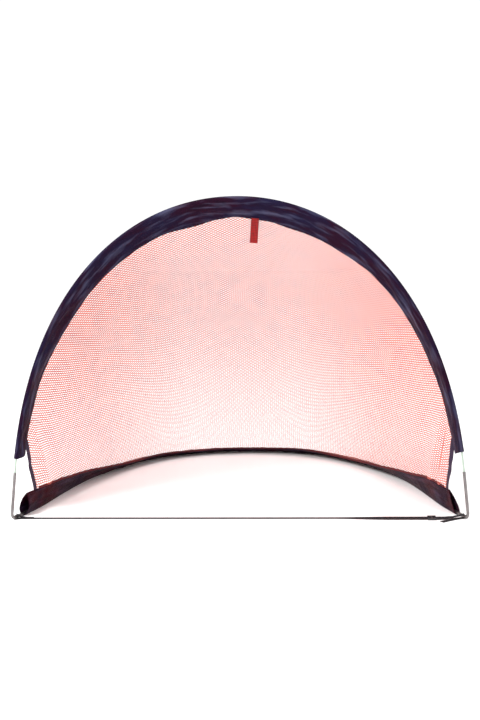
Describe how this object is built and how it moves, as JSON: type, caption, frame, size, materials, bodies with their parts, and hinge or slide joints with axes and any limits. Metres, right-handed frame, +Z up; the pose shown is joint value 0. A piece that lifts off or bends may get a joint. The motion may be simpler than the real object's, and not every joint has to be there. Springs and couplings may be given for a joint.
{
  "type": "soccer goal frame",
  "caption": "Small pop-up soccer goal: springy hoops in fabric sleeves, bent steel corner tubes, sloping mesh net, ground strap with slider.",
  "frame": {"origin": "on the floor under the middle of the whole goal", "axes": "+X to the right along the mouth, +Y from the mouth into the goal, +Z up"},
  "size_m": [1.1968, 0.9004, 0.8389],
  "materials": {
    "steel": "dull plated steel",
    "fibreglass": "pale greenish glass fibre",
    "ferrule": "satin",
    "sleeve_cloth": "tight plain-woven navy polyester with a slight sheen",
    "net_mesh": "fine open red mesh",
    "webbing": "black flat webbing",
    "slider_plastic": "black moulded plastic",
    "tab_weave": "dark red woven tape"
  },
  "bodies": {
    "base": {"corner_tube_left": "steel", "corner_tube_right": "steel", "front_rod_foot_left": "fibreglass", "front_rod_foot_right": "fibreglass", "base_rod_left": "fibreglass", "base_rod_right": "fibreglass", "base_ferrule": "ferrule", "base_sleeve": "sleeve_cloth", "net": "net_mesh", "net_binding_left": "sleeve_cloth", "net_binding_right": "sleeve_cloth", "ground_strap": "webbing"},
    "arch": {"front_rod_left": "fibreglass", "front_rod_right": "fibreglass", "front_ferrule": "ferrule", "front_sleeve": "sleeve_cloth"},
    "tab": {"top_tab": "tab_weave"},
    "slider": {"strap_slider": "slider_plastic"}
  },
  "joints": [
    {"name": "arch_fold", "type": "hinge", "parent": "base", "child": "arch", "pos_m": [0, -0.42971, 0.1336], "axis": [-1, 0, 0], "range_deg": [0, 90], "stiffness_Nm_per_rad": 6, "springref_deg": -2.86, "deforming": ["net", "net_binding_left", "net_binding_right"]},
    {"name": "tab_swing", "type": "hinge", "parent": "arch", "child": "tab", "pos_m": [0.05027, -0.40725, 0.78245], "axis": [-1, 0, 0], "range_deg": [-18, 90]},
    {"name": "slider_slide", "type": "slide", "parent": "base", "child": "slider", "axis": [1, 0, 0], "range_m": [-0.065, 0.015]}
  ]
}
